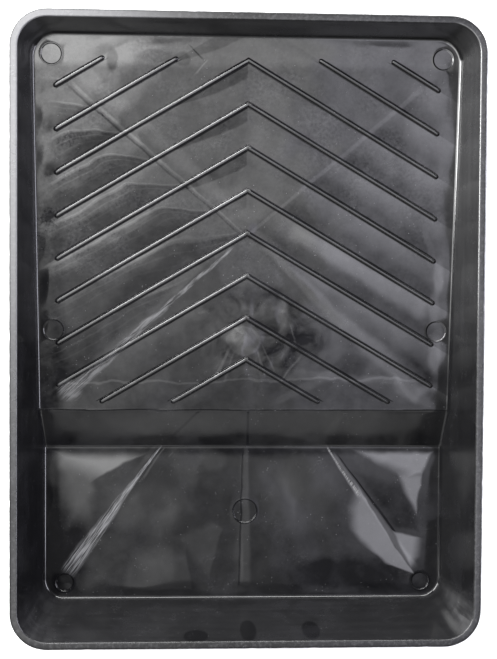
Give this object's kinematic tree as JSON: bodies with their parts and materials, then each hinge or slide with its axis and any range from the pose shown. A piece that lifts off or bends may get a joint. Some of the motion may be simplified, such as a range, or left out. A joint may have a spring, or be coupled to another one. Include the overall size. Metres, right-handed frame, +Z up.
{
  "type": "paint roller tray",
  "caption": "Rectangular black plastic tray for a paint roller, with a flat rim, a deep paint well, a steep step, a chevron-ribbed roll-off ramp and corner legs.",
  "frame": {"origin": "on the ground, under the middle of the rim", "axes": "+Z up, +Y along the length towards the shallow end, +X across the width"},
  "size_m": [0.275, 0.368, 0.062],
  "materials": {
    "black_plastic": "glossy black injection-moulded polypropylene with fine scuffs and faint flow marks"
  },
  "bodies": {
    "root": {"rim": "black_plastic", "left_wall": "black_plastic", "right_wall": "black_plastic", "ramp_end_wall": "black_plastic", "well_end_wall": "black_plastic", "ramp": "black_plastic", "step": "black_plastic", "well_floor": "black_plastic", "chevron_rib_1": "black_plastic", "chevron_rib_2": "black_plastic", "chevron_rib_3": "black_plastic", "chevron_rib_4": "black_plastic", "chevron_rib_5": "black_plastic", "chevron_rib_6": "black_plastic", "chevron_rib_7": "black_plastic", "chevron_rib_8": "black_plastic", "stub_rib_left_1": "black_plastic", "stub_rib_left_2": "black_plastic", "stub_rib_right_1": "black_plastic", "stub_rib_right_2": "black_plastic", "left_leg": "black_plastic", "right_leg": "black_plastic"}
  },
  "joints": []
}
